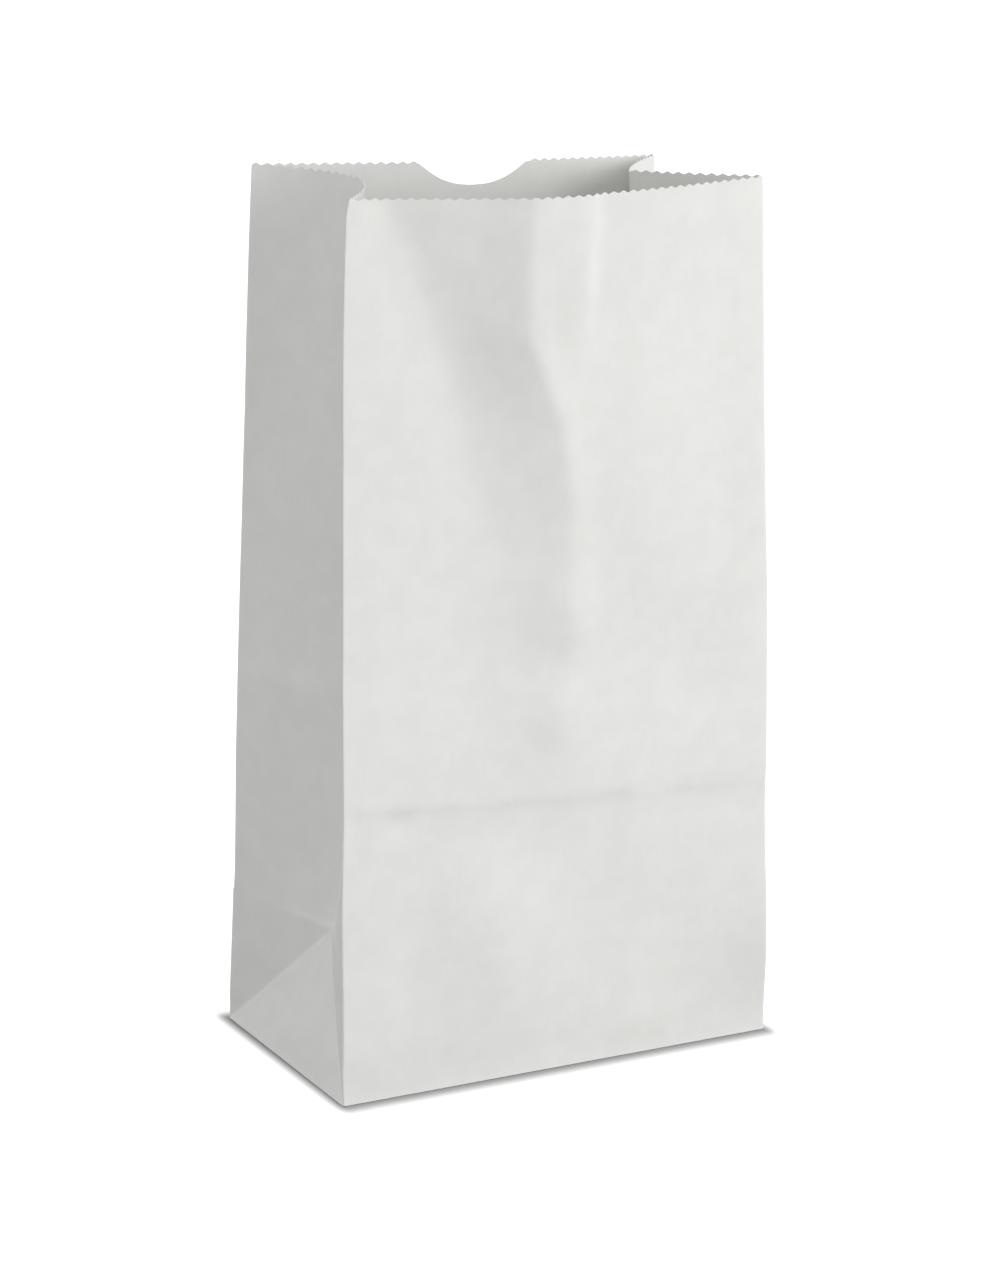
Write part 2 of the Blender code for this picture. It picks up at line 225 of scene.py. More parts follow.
class BagSizes(bpy.types.PropertyGroup):
    """Sizes of the bag as it is cut, folded and stood up."""

    width: FloatProperty(name="Width", description="Width of the front panel", default=0.1524, unit="LENGTH")
    depth: FloatProperty(
        name="Depth", description="Depth of the bottom, front to rear", default=0.0921, unit="LENGTH"
    )
    height: FloatProperty(
        name="Height", description="Height of the front panel along the paper", default=0.281, unit="LENGTH"
    )
    paper: FloatProperty(name="Paper", description="Thickness of the sheet", default=0.0001, unit="LENGTH")
    seam_lap: FloatProperty(
        name="Seam Lap", description="Width of the glued back seam", default=0.012, unit="LENGTH"
    )
    flap_overlap: FloatProperty(
        name="Flap Overlap", description="How far the long flaps overlap", default=0.024, unit="LENGTH"
    )
    teeth: IntProperty(name="Teeth", description="Number of pinked teeth round the mouth", default=128, min=8)
    tooth_depth: FloatProperty(
        name="Tooth Depth", description="Depth of the pinked teeth", default=0.0008, unit="LENGTH"
    )
    notch_width: FloatProperty(
        name="Notch Width", description="Width of the thumb notch", default=0.042, unit="LENGTH"
    )
    notch_depth: FloatProperty(
        name="Notch Depth", description="Depth of the thumb notch", default=0.0079, unit="LENGTH"
    )
    notch_offset: FloatProperty(
        name="Notch Offset", description="How far the notch is right of the middle", default=0.0013,
        unit="LENGTH",
    )
    notch_roundness: FloatProperty(
        name="Notch Roundness", description="Higher is a flatter notch with steeper ends", default=2.3
    )
    front_lean: FloatProperty(
        name="Front Lean", description="How far the front panel leans back at the mouth", default=0.0096,
        unit="LENGTH",
    )
    left_lean: FloatProperty(
        name="Left Lean", description="How far the left edges lean in at the mouth", default=0.0081,
        unit="LENGTH",
    )
    left_lip: FloatProperty(
        name="Left Lip", description="How much higher the mouth's rear left corner stands", default=0.0042,
        unit="LENGTH",
    )
    front_dip: FloatProperty(
        name="Front Dip", description="How much lower the mouth's front left corner stands", default=0.0008,
        unit="LENGTH",
    )
    right_lip: FloatProperty(
        name="Right Lip", description="How much higher the mouth's rear right corner stands", default=0.0012,
        unit="LENGTH",
    )
    front_bulge: FloatProperty(
        name="Front Bulge", description="How far the front's ridge stands out at the mouth", default=0.0128,
        unit="LENGTH",
    )
    rear_hollow: FloatProperty(
        name="Rear Hollow", description="How far the rear panel sinks in at the mouth", default=0.008,
        unit="LENGTH",
    )
    mouth_sag: FloatProperty(
        name="Mouth Sag", description="How far the front edge hangs lower in its middle", default=0.0014,
        unit="LENGTH",
    )
    seed: IntProperty(name="Seed", description="Seed of the paper's soft cockling", default=7, min=0)


class PaperFinish(bpy.types.PropertyGroup):
    """Colour and surface of the white kraft paper."""

    colour: FloatVectorProperty(
        name="Colour", description="Colour of the paper", subtype="COLOR", size=3, min=0, max=1,
        default=(0.79, 0.79, 0.77),
    )
    shade: FloatVectorProperty(
        name="Shade", description="Colour of the paper's thin, cloudy places", subtype="COLOR", size=3, min=0,
        max=1, default=(0.765, 0.765, 0.745),
    )
    roughness: FloatProperty(
        name="Roughness", description="Roughness of the paper", default=0.85, min=0, max=1
    )
    grain: FloatProperty(
        name="Grain", description="Size of the cloudy formation of the fibres", default=0.009, unit="LENGTH"
    )


class StudioSettings(bpy.types.PropertyGroup):
    """Camera and lights."""

    azimuth: FloatProperty(
        name="Azimuth", description="Direction of the camera round the bag", default=math.radians(-27.6),
        subtype="ANGLE",
    )
    elevation: FloatProperty(
        name="Elevation", description="Camera's height angle", default=math.radians(13.28), subtype="ANGLE"
    )
    distance: FloatProperty(name="Distance", description="Camera to the bag", default=1.092, unit="LENGTH")
    lens: FloatProperty(name="Lens", description="Focal length on a 36 mm long side, in mm", default=94.05)
    key: FloatProperty(
        name="Key Light", description="Power of the large, low light at the front right", default=46.5
    )
    fill: FloatProperty(name="Fill Light", description="Power of the small light at the left", default=3.2)
    ambient: FloatProperty(name="Ambient", description="Strength of the pale surroundings", default=0.55)


class Wire:
    """An output of a node, with Python's arithmetic on it."""

    def __init__(self, board, socket):
        self.board = board
        self.socket = socket

    def _maths(self, operation, first, second):
        return self.board.maths(operation, first, second)

    def __add__(self, other):
        return self._maths("ADD", self, other)

    def __radd__(self, other):
        return self._maths("ADD", other, self)

    def __sub__(self, other):
        return self._maths("SUBTRACT", self, other)

    def __rsub__(self, other):
        return self._maths("SUBTRACT", other, self)

    def __mul__(self, other):
        return self._maths("MULTIPLY", self, other)

    def __rmul__(self, other):
        return self._maths("MULTIPLY", other, self)

    def __truediv__(self, other):
        return self._maths("DIVIDE", self, other)

    def __pow__(self, other):
        return self._maths("POWER", self, other)


class Board:
    """A node tree that is filled by calls."""

    def __init__(self, tree):
        self.tree = tree

    def node(self, kind, settings=(), **inputs):
        """A node of this kind: settings first, then its sockets, named as they are or by number."""
        made = self.tree.nodes.new(kind)
        for name, value in dict(settings).items():
            setattr(made, name, value)
        for name, value in inputs.items():
            key = int(name[1:]) if name[0] == "_" else name.replace("_", " ")
            self.join(value, made.inputs[key])
        return made

    def join(self, value, socket):
        if isinstance(value, Wire):
            self.tree.links.new(value.socket, socket)
        elif value is not None:
            socket.default_value = value

    def out(self, made, name=0):
        return Wire(self, made.outputs[name])

    def maths(self, operation, first, second=None):
        return self.out(self.node("ShaderNodeMath", {"operation": operation}, _0=first, _1=second))

    def ramp(self, value, low, high):
        """0 below low, 1 above high, smooth between."""
        settings = {"interpolation_type": "SMOOTHSTEP"}
        made = self.node("ShaderNodeMapRange", settings, Value=value, From_Min=low, From_Max=high)
        return self.out(made, "Result")


def blend(a, b, t):
    return a + (b - a) * t


def between(a, b, t):
    """Points between two rows of points, a share t of the way for each."""
    return a + (b - a) * np.asarray(t)[:, None]


def arch(share):
    """0 at both ends of a span and 1 in its middle."""
    return 4 * share * (1 - share)


def smooth_step(t):
    """0 up to 0, 1 from 1 on, smooth between."""
    t = np.clip(t, 0.0, 1.0)
    return t * t * (3 - 2 * t)


def swell_of(x, middle, before, after):
    """1 at the middle, falling softly to 0 at the given distances before and after it."""
    away = np.where(x < middle, (middle - x) / before, (x - middle) / after)
    return 1 - smooth_step(away)


def softened(past):
    """Twice how far a place lies past a fold, with the fold itself rounded."""
    return past + np.hypot(past, VALLEY_SOFTNESS)


class Cockle:
    """Soft seeded noise over the sheet, from -1 to 1, on a grid of cells."""

    def __init__(self, seed, cell):
        self.values = np.random.default_rng(seed).uniform(-1, 1, (NOISE_GRID, NOISE_GRID))
        self.cell = cell

    def __call__(self, u, v):
        x = u / self.cell[0] + NOISE_SHIFT
        y = v / self.cell[1] + NOISE_SHIFT
        i = np.floor(x).astype(int)
        j = np.floor(y).astype(int)
        across = smooth_step(x - i)
        low = blend(self.at(i, j), self.at(i + 1, j), across)
        high = blend(self.at(i, j + 1), self.at(i + 1, j + 1), across)
        return blend(low, high, smooth_step(y - j))

    def at(self, i, j):
        """The grid's values. It repeats past its edges."""
        return self.values[i % NOISE_GRID, j % NOISE_GRID]


class Fold:
    """The rule that takes a point of the flat tube to its place on the standing bag.

    The flat tube's u runs round the bag from the middle of its rear panel, by way of the left gusset, the
    front panel and the right gusset; v runs up from the bottom's edge.
    """

    def __init__(self, sizes):
        self.sizes = sizes
        self.width, self.depth, self.height = sizes.width, sizes.depth, sizes.height
        self.half_width, self.half_depth = self.width / 2, self.depth / 2
        self.round = 2 * (self.width + self.depth)
        self.base = LAYERS_BELOW * sizes.paper
        self.near = sizes.paper / 10
        self.rear_left = self.half_width
        self.front_left = self.rear_left + self.depth
        self.front_right = self.front_left + self.width
        self.rear_right = self.front_right + self.depth
        self.folds = (self.rear_left, self.front_left, self.front_right, self.rear_right)
        self.creases = (self.rear_left + self.half_depth, self.front_right + self.half_depth)
        self.wide_cockle = Cockle(sizes.seed, WIDE_CELL)
        self.middling_cockle = Cockle(sizes.seed + 3, MIDDLING_CELL)
        self.fine_cockle = Cockle(sizes.seed + 1, FINE_CELL)
        self.wander = Cockle(sizes.seed + 2, WANDER_CELL)

    def climb(self, v):
        """0 up to the gusset's lowest fold, then rising to 1 at the mouth."""
        return np.clip((v - self.half_depth) / (self.height - self.half_depth), 0.0, None)

    def fold_angle(self, v):
        """How far a gusset's halves are tucked in, as the angle between each half and its side of the bag."""
        return blend(FOOT_FOLD, MOUTH_FOLD, self.climb(v) ** FOLD_CURVE)

    def open_depth(self, v):
        """Half the distance between the front and rear upright folds."""
        foot = blend(1.0, math.cos(FOOT_FOLD), np.clip(v / self.half_depth, None, 1.0))
        return self.half_depth * np.where(v < self.half_depth, foot, np.cos(self.fold_angle(v)))

    def near_crease(self, v, crease):
        """1 on a crossways crease, falling to 0 a little above and below it."""
        return np.clip(1 - np.abs(v - crease) / CREASE_REACH, 0.0, None)

    def corner(self, side_x, side_y, v):
        """Points of one of the four upright folds: side_x is -1 on the left, and side_y -1 in front."""
        w = self.climb(v)
        lean = self.sizes.left_lean if side_x < 0 else RIGHT_LEAN
        x = side_x * (self.half_width - lean * w**SIDE_LEAN_CURVE)
        x += np.interp(v * MM_PER_METRE, WANDER_UP, WANDER[side_x, side_y]) / MM_PER_METRE
        y = -self.half_depth + self.sizes.front_lean * w**FRONT_LEAN_CURVE
        if side_y > 0:
            y = y + 2 * self.open_depth(v) - REAR_CREASE_DIP * self.near_crease(v, self.half_depth)
            lip = self.sizes.left_lip if side_x < 0 else self.sizes.right_lip
        elif side_x < 0:
            y -= FRONT_CREASE_PROUD * self.near_crease(v, self.depth)
            y -= LEFT_SWELL * swell_of(v, LEFT_SWELL_UP, LEFT_SWELL_UP, LEFT_SWELL_END - LEFT_SWELL_UP)
            x += CORNER_FLARE * smooth_step((v - self.height) / FLARE_BAND + 1)
            lip = -self.sizes.front_dip
        else:
            y -= FRONT_CREASE_PROUD * self.near_crease(v, self.depth)
            y -= self.right_swell(v)
            lip = 0.0
        return np.stack([x, y, v * (1 + lip / self.height)], -1)

    def right_swell(self, v):
        """How far the front panel's right fold stands forward low down."""
        return RIGHT_SWELL * swell_of(v, RIGHT_SWELL_UP, RIGHT_SWELL_UP, RIGHT_SWELL_REACH)

    def tucked_crease(self, side_x, v):
        """Points of a gusset's centre crease, at or above the tip of the foot's triangle."""
        w = self.climb(v)
        slack = LEFT_SLACK if side_x < 0 else RIGHT_SLACK
        middle = (self.corner(side_x, -1, v) + self.corner(side_x, 1, v)) / 2
        tuck = self.half_depth * np.sin(self.fold_angle(v)) * (1 - slack * w * w)
        rise = (self.sizes.left_lip - self.sizes.front_dip) / 2 if side_x < 0 else 0.0
        height = blend(self.half_depth * math.cos(FOOT_FOLD), self.height + rise, w)
        return np.stack([middle[:, 0] - side_x * tuck, middle[:, 1], height], -1)

    def gusset_half(self, side_x, side_y, share, v):
        """Points between an upright fold and the centre crease. Slack bows them towards their panel.

        A shallow arc of height h over a chord L is longer than it by 8 h^2 / 3 L.
        """
        edge = self.corner(side_x, side_y, v)
        chord = self.tucked_crease(side_x, v) - edge
        length = np.hypot(chord[:, 0], chord[:, 1])
        spare = np.clip(self.half_depth - length, 0.0, None)
        bow = (FRONT_BOW if side_y < 0 else REAR_BOW) * np.sqrt(3 * length * spare / 8) * arch(share)
        across = np.stack([-chord[:, 1], chord[:, 0], 0 * v], -1) * (-side_x * side_y / length)[:, None]
        return edge + chord * share[:, None] + across * bow[:, None]

    def gusset(self, side_x, s, v):
        """Points of a gusset, s from its front fold."""
        from_fold = np.minimum(s, self.depth - s)
        share = from_fold / self.half_depth
        front_side = s < self.half_depth
        above = np.where(
            front_side[:, None],
            self.gusset_half(side_x, -1, share, v),
            self.gusset_half(side_x, 1, share, v),
        )
        ground = 0 * v
        tip = self.tucked_crease(side_x, ground + self.half_depth)
        risen = v / self.half_depth
        front = between(self.corner(side_x, -1, ground), tip, risen)
        rear = between(self.corner(side_x, 1, ground), tip, risen)
        across = np.clip((s - v) / np.maximum(self.depth - 2 * v, TINY_LENGTH), 0.0, 1.0)
        triangle = between(front, rear, across)
        crease = np.where(front_side[:, None], front, rear)
        edge = np.where(front_side[:, None], self.corner(side_x, -1, v), self.corner(side_x, 1, v))
        facet = between(edge, crease, np.clip(from_fold / np.maximum(v, TINY_LENGTH), 0.0, 1.0))
        below = np.where((from_fold >= v)[:, None], triangle, facet)
        return np.where((v >= self.half_depth)[:, None], above, below)

    def ridge(self, s, v):
        """The front panel's bulge: flat to a valley, a straight rise to a crest, then a long fall."""
        crest = np.interp(v, CREST_UP, CREST_ACROSS)
        valley = np.interp(v, VALLEY_UP, VALLEY_ACROSS)
        ground = softened(-valley)
        rise = (softened(s - valley) - ground) / (softened(crest - valley) - ground)
        fall = np.clip((self.width - s) / (self.width - crest), 0.0, 1.0) ** RIDGE_RIGHT_CURVE
        return np.where(s < crest, rise, fall)

    def front(self, s, v):
        """Points of the front panel, s from its left fold."""
        share = s / self.width
        w = self.climb(v)
        points = between(self.corner(-1, -1, v), self.corner(1, -1, v), share)
        points[:, 1] -= self.sizes.front_bulge * w**BULGE_CURVE * self.ridge(s, v)
        points[:, 1] += self.right_swell(v) * (share - share**RIGHT_SWELL_CURVE)
        points[:, 2] -= self.sizes.mouth_sag * w**BULGE_CURVE * arch(share)
        return points

    def rear(self, s, v):
        """Points of the rear panel, s from its left fold."""
        share = s / self.width
        points = between(self.corner(-1, 1, v), self.corner(1, 1, v), share)
        points[:, 1] -= self.sizes.rear_hollow * self.climb(v) ** BULGE_CURVE * arch(share)
        return points

    def sharp(self, u, v):
        """Where points of the sheet land with knife-sharp folds and smooth panels."""
        u = u % self.round
        points = np.empty((len(u), 3))
        rear = (u < self.rear_left) | (u > self.rear_right)
        left = (u >= self.rear_left) & (u < self.front_left)
        front = (u >= self.front_left) & (u < self.front_right)
        right = (u >= self.front_right) & (u <= self.rear_right)
        s = np.where(u < self.rear_left, self.half_width - u, self.round + self.half_width - u)
        points[rear] = self.rear(s[rear], v[rear])
        points[left] = self.gusset(-1, (self.front_left - u)[left], v[left])
        points[front] = self.front((u - self.front_left)[front], v[front])
        points[right] = self.gusset(1, (u - self.front_right)[right], v[right])
        points[:, 2] += self.base
        return points

    def rounded(self, u, v):
        """The same with every upright fold given its small radius."""
        points = self.sharp(u, v)
        for fold in (*self.folds, *self.creases):
            near = np.abs(u - fold) < FOLD_RADIUS
            if not near.any():
                continue
            height = v[near]
            line = np.full(height.shape, fold)
            t = ((u[near] - fold) / (2 * FOLD_RADIUS) + 0.5)[:, None]
            start = self.sharp(line - FOLD_RADIUS, height)
            end = self.sharp(line + FOLD_RADIUS, height)
            points[near] = (1 - t) ** 2 * start + 2 * t * (1 - t) * self.sharp(line, height) + t**2 * end
        return points

    def crease_line(self, s):
        """How high the front panel's wavy crease runs."""
        wave = CREASE_WANDER * self.wander(s, 0 * s)
        return blend(CREASE_LEFT, CREASE_RIGHT, s / self.width) + wave

    def front_relief(self, s, v):
        """The line along the crest, the swells and the step at the crease."""
        crest = np.interp(v, CREST_UP, CREST_ACROSS)
        fade = smooth_step((v - CREST_UP[0]) / CREST_LINE_FADE)
        lift = CREST_LINE * fade * swell_of(s, crest, CREST_LINE_LEFT, CREST_LINE_RIGHT)
        for swell in SWELLS:
            across, up, left, right, down, above, height = (value / MM_PER_METRE for value in swell)
            lift += height * swell_of(s, across, left, right) * swell_of(v, up, down, above)
        below = self.crease_line(s) - v
        step = smooth_step(below / CREASE_STEP_WIDTH) * (1 - smooth_step(below / CREASE_STEP_FADE))
        lift -= CREASE_STEP * step * (1 + CREASE_UNEVENNESS * self.wander(s, 0 * s))
        return lift * smooth_step(np.minimum(s, self.width - s) / SWELL_FADE)

    def cockling(self, u, v):
        """Soft waves of the whole sheet, unbroken across its seam and fading out at the upright folds."""
        around = u % self.round
        from_fold = np.min([np.abs(around - fold) for fold in self.folds], axis=0)
        around = np.where(around < self.rear_left, around + self.round, around)
        wide = WIDE_COCKLE * self.wide_cockle(around, v)
        middling = MIDDLING_COCKLE * self.middling_cockle(around, v)
        fine = FINE_COCKLE * self.fine_cockle(around, v)
        return smooth_step(from_fold / COCKLE_FADE) * (wide + middling + fine)

    def relief(self, u, v):
        """How far each point stands out of its smooth panel: swells, dents, creases and cockling."""
        lift = self.cockling(u, v)
        across = np.clip((u - self.rear_left) / self.half_depth, 0.0, 1.0)
        lift += LEFT_BELLY * arch(across) * swell_of(v, BELLY_UP, BELLY_REACH, BELLY_REACH)
        s = u - self.front_left
        front = (s > 0) & (s < self.width)
        lift[front] += self.front_relief(s[front], v[front])
        return lift * smooth_step(v / FOOT_FADE)

    def standing(self, u, v):
        """Where points of the sheet land on the finished bag."""
        points = self.rounded(u, v)
        across = self.rounded(u + NORMAL_REACH, v) - self.rounded(u - NORMAL_REACH, v)
        upward = self.rounded(u, v + NORMAL_REACH) - self.rounded(u, np.maximum(v - NORMAL_REACH, 0.0))
        normal = np.cross(across, upward)
        normal /= np.maximum(np.linalg.norm(normal, axis=1), TINY_AREA)[:, None]
        return points + normal * self.relief(u, v)[:, None]


def column_positions(fold, teeth):
    """Upright lines of the flat tube: one at each tooth's tip and valley, and a few round each fold."""
    lines = list(np.linspace(0, fold.round, 2 * teeth + 1))
    for line in (*fold.folds, *fold.creases):
        for share in (-1, -0.5, 0, 0.5, 1):
            lines.append(line + share * FOLD_RADIUS)
    lap = fold.sizes.seam_lap / 2
    lines += [lap, fold.round - lap]
    return thinned(lines)


def thinned(lines):
    """The lines in order, without those that lie too close to the last one."""
    kept = []
    for line in sorted(lines):
        if not kept or line - kept[-1] > LEAST_GAP:
            kept.append(line)
    return kept


def row_positions(fold):
    """Level lines of the flat tube: closer together at the ground, near the creases and at the mouth."""
    rows = [0.0, FOLD_RADIUS / 2, FOLD_RADIUS]
    bands = [fold.half_depth, fold.depth]
    height = FOLD_RADIUS
    while height < fold.height - ROW_PITCH / 2:
        in_band = any(abs(height - band) < CREASE_BAND for band in bands) or height > fold.height - RIM_BAND
        height += CREASE_ROW_PITCH if in_band else ROW_PITCH
        rows.append(min(height, fold.height))
    rows[-1] = fold.height
    rows.append(fold.half_depth)
    return thinned(rows)


def flat_tube(fold, teeth):
    """The tube of paper slit up its seam's middle and laid flat: X round the bag, Y up it."""
    sheet = bmesh.new()
    columns = column_positions(fold, teeth)
    lines = [[sheet.verts.new((u, v, 0)) for u in columns] for v in row_positions(fold)]
    for low, high in zip(lines, lines[1:]):
        for i in range(len(low) - 1):
            sheet.faces.new((low[i], low[i + 1], high[i + 1], high[i]))
    return sheet


def pinking_tree(material):
    """Geometry nodes that cut the flat tube's mouth: pinked teeth all the way round, and the thumb notch."""
    tree = bpy.data.node_groups.new("pinked mouth", "GeometryNodeTree")
    tree.interface.new_socket("Geometry", in_out="INPUT", socket_type="NodeSocketGeometry")
    mouth = ("Mouth Height", "Band", "Tooth Pitch", "Tooth Depth", "Sheet Length")
    notch = ("Notch Centre", "Notch Width", "Notch Depth", "Notch Roundness")
    for name in (*mouth, *notch):
        tree.interface.new_socket(name, in_out="INPUT", socket_type="NodeSocketFloat")
    tree.interface.new_socket("Geometry", in_out="OUTPUT", socket_type="NodeSocketGeometry")
    board = Board(tree)
    given = tree.nodes.new("NodeGroupInput")

    def value(name):
        return board.out(given, name)

    position = board.out(board.node("GeometryNodeInputPosition"))
    parts = board.node("ShaderNodeSeparateXYZ", _0=position)
    along, height = board.out(parts, "X"), board.out(parts, "Y")
    phase = board.maths("FRACT", along / value("Tooth Pitch"))
    tooth = board.maths("ABSOLUTE", phase * 2 - 1) * value("Tooth Depth")
    second_half = board.maths("GREATER_THAN", along, value("Sheet Length") / 2)
    across = second_half * value("Sheet Length") - along
    away = board.maths("ABSOLUTE", across - value("Notch Centre"))
    reach = (away / (value("Notch Width") / 2)) ** value("Notch Roundness")
    dip = board.maths("MAXIMUM", 1 - reach, 0) * value("Notch Depth")
    drop = board.maths("MAXIMUM", tooth, dip)
    rise = (height - value("Mouth Height")) / value("Band") + 1
    share = board.maths("MAXIMUM", rise, 0)
    offset = board.node("ShaderNodeCombineXYZ", Y=drop * share * share * -1)
    moved = board.node("GeometryNodeSetPosition", Geometry=value("Geometry"), Offset=board.out(offset))
    whole = board.node("GeometryNodeRealizeInstances", Geometry=board.out(moved))
    finished = board.node("GeometryNodeSetMaterial", Geometry=board.out(whole), Material=material)
    result = tree.nodes.new("NodeGroupOutput")
    board.join(board.out(finished), result.inputs["Geometry"])
    return tree


def run_tree(mesh, tree, values):
    """Run a geometry tree on a mesh with the given inputs, and return the plain mesh it makes."""
    holder = bpy.data.objects.new("tree_holder", mesh)
    bpy.context.scene.collection.objects.link(holder)
    modifier = holder.modifiers.new("tree", "NODES")
    modifier.node_group = tree
    for item in tree.interface.items_tree:
        if item.name in values and item.in_out == "INPUT":
            modifier[item.identifier] = values[item.name]
    graph = bpy.context.evaluated_depsgraph_get()
    made = bpy.data.meshes.new_from_object(holder.evaluated_get(graph))
    bpy.data.objects.remove(holder)
    return made


def score(sheet, faces, through, direction):
    """Cut an edge across the given faces, along the line through a point."""
    edges = dict.fromkeys(edge for face in faces for edge in face.edges)
    verts = dict.fromkeys(vert for face in faces for vert in face.verts)
    normal = Vector((-direction[1], direction[0], 0))
    geom = [*verts, *edges, *faces]
    bmesh.ops.bisect_plane(sheet, geom=geom, dist=CUT_PRECISION, plane_co=(*through, 0), plane_no=normal)


def faces_within(sheet, low, high):
    """Faces whose middle lies in a box, given by its lowest and highest X and Y."""
    chosen = []
    for face in sheet.faces:
        x, y, _ = face.calc_center_median()
        if low[0] < x < high[0] and low[1] < y < high[1]:
            chosen.append(face)
    return chosen


def score_gussets(sheet, fold):
    """The slanting creases from the bottom's corners, each scored three times so that it is slightly soft."""
    for start in (fold.rear_left, fold.front_right):
        middle, end = start + fold.half_depth, start + fold.depth
        for shift in (-SCORE_HALF_WIDTH, 0, SCORE_HALF_WIDTH):
            rising = faces_within(sheet, (start, 0), (middle, fold.half_depth))
            score(sheet, rising, (start + shift, 0), (1, 1))
            falling = faces_within(sheet, (middle, 0), (end, fold.half_depth))
            score(sheet, falling, (end + shift, 0), (1, -1))


def painted_fold_highlight(fold, u, v):
    """Painted highlight along the folds: 1 on every fold and crease of the sheet, falling to 0 within a
    millimetre or so.
    """
    around = u % fold.round
    lines = [v]
    lines += [np.abs(around - line) for line in fold.folds]
    lines += [np.where(v > fold.half_depth, np.abs(u - line), BEYOND_FOLD_HIGHLIGHT) for line in fold.creases]
    for start in (fold.rear_left, fold.front_right):
        slant = np.minimum(around - start, start + fold.depth - around)
        lines.append(np.where(slant > 0, np.abs(slant - v), BEYOND_FOLD_HIGHLIGHT))
    return 1 - smooth_step(np.min(lines, axis=0) / FOLD_HIGHLIGHT_REACH)


def fold_up(sheet, fold):
    """Take the flat tube to its standing shape. Its own flat coordinates stay behind as a UV map."""
    flat = sheet.loops.layers.uv.new("paper")
    fold_highlight = sheet.verts.layers.float.new("fold_highlight")
    for face in sheet.faces:
        for loop in face.loops:
            loop[flat].uv = loop.vert.co.xy
    verts = list(sheet.verts)
    u = np.array([vert.co.x for vert in verts])
    v = np.array([vert.co.y for vert in verts])
    # The painted highlight along the folds, kept on each point as an attribute
    highlight_amount = painted_fold_highlight(fold, u, v)
    for vert, place, amount in zip(verts, fold.standing(u, v), highlight_amount):
        vert.co = place
        vert[fold_highlight] = amount
    bmesh.ops.remove_doubles(sheet, verts=sheet.verts, dist=fold.near)


def on_floor(element, fold):
    """Whether a face or an edge lies in the bottom of the sheet, before its flaps are laid."""
    return all(abs(vert.co.z - fold.base) < fold.near for vert in element.verts)


def floor_faces(sheet, fold, low, high):
    return [face for face in faces_within(sheet, low, high) if on_floor(face, fold)]


class Floor:
    """Where the four flaps of the bottom end: half widths measured from the bottom's middle."""

    def __init__(self, fold):
        self.ends = fold.half_width - fold.half_depth
        self.overlap = fold.sizes.flap_overlap / 2
        self.gap = self.ends - self.overlap
        self.seam = fold.sizes.seam_lap / 2
        self.far = (fold.half_width, fold.half_depth)

    def on_rear_flap(self, x, y):
        return y > -self.overlap and abs(x) < self.ends + y

    def on_long_flaps(self, x, y):
        return abs(x) < self.ends + abs(y)

    def on_seam(self, x, y):
        return self.on_rear_flap(x, y) and abs(x) < self.seam

    def between_side_flaps(self, x, y):
        return abs(x) < self.gap

    def beyond_front_flap(self, x, y):
        return abs(x) < self.gap and y > self.overlap


def close_foot(sheet, fold, floor):
    """Span the foot with one face and score it where its four flaps end and where the seam crosses it."""
    ring = [edge for edge in sheet.edges if edge.is_boundary and on_floor(edge, fold)]
    bmesh.ops.contextual_create(sheet, geom=ring)
    far_x, far_y = floor.far
    score(sheet, floor_faces(sheet, fold, (-far_x, -far_y), floor.far), (0, 0), (1, 0))
    for side_y in (-1, 1):
        low, high = ((-far_x, -far_y), (far_x, 0)) if side_y < 0 else ((-far_x, 0), floor.far)
        for side_x in (-1, 1):
            score(sheet, floor_faces(sheet, fold, low, high), (side_x * floor.ends, 0), (side_x, side_y))
        middle = floor_faces(sheet, fold, (-floor.gap, low[1]), (floor.gap, high[1]))
        score(sheet, middle, (0, side_y * floor.overlap), (1, 0))
    for side_x in (-1, 1):
        strip = floor_faces(sheet, fold, (-floor.gap, -floor.overlap), (floor.gap, 0))
        score(sheet, strip, (side_x * floor.ends, 0), (side_x, 1))
    for x in (-floor.gap, floor.gap):
        strip = floor_faces(sheet, fold, (-floor.ends, -far_y), (floor.ends, far_y))
        score(sheet, strip, (x, 0), (0, 1))
    for x in (-floor.seam, floor.seam):
        strip = floor_faces(sheet, fold, (-floor.gap, -floor.overlap), (floor.gap, far_y))
        score(sheet, strip, (x, 0), (0, 1))


def pink_line(sheet, fold, axis, value, reach, outward):
    """Cut teeth into a flap's free edge: the floor's edges on a line across the axis, within reach."""
    other = 1 - axis
    pitch = fold.round / fold.sizes.teeth
    line = []
    for edge in sheet.edges:
        on_line = on_floor(edge, fold) and all(abs(vert.co[axis] - value) < fold.near for vert in edge.verts)
        if on_line and all(abs(vert.co[other]) < reach + fold.near for vert in edge.verts):
            line.append(edge)
    for edge in line:
        teeth = max(1, round(edge.calc_length() / pitch))
        cut = bmesh.ops.subdivide_edges(sheet, edges=[edge], cuts=2 * teeth - 1)
        fresh = [item for item in cut["geom_inner"] if isinstance(item, bmesh.types.BMVert)]
        fresh.sort(key=lambda vert: vert.co[other])
        for vert in fresh[::2]:
            vert.co[axis] += outward * fold.sizes.tooth_depth


def pink_flaps(sheet, fold, floor):
    """Teeth along the free edges of the four flaps, as at the mouth."""
    pink_line(sheet, fold, 1, -floor.overlap, floor.gap, -1)
    pink_line(sheet, fold, 1, floor.overlap, floor.gap, 1)
    pink_line(sheet, fold, 0, -floor.gap, fold.half_depth, 1)
    pink_line(sheet, fold, 0, floor.gap, fold.half_depth, -1)


def map_floor(sheet, fold):
    """Give the bottom's faces the sheet's coordinates too, as if it carried on under the front panel."""
    flat = sheet.loops.layers.uv["paper"]
    middle = fold.front_left + fold.half_width
    for face in sheet.faces:
        if on_floor(face, fold):
            for loop in face.loops:
                loop[flat].uv = (middle + loop.vert.co.x, BOTTOM_ON_MAP - loop.vert.co.y)


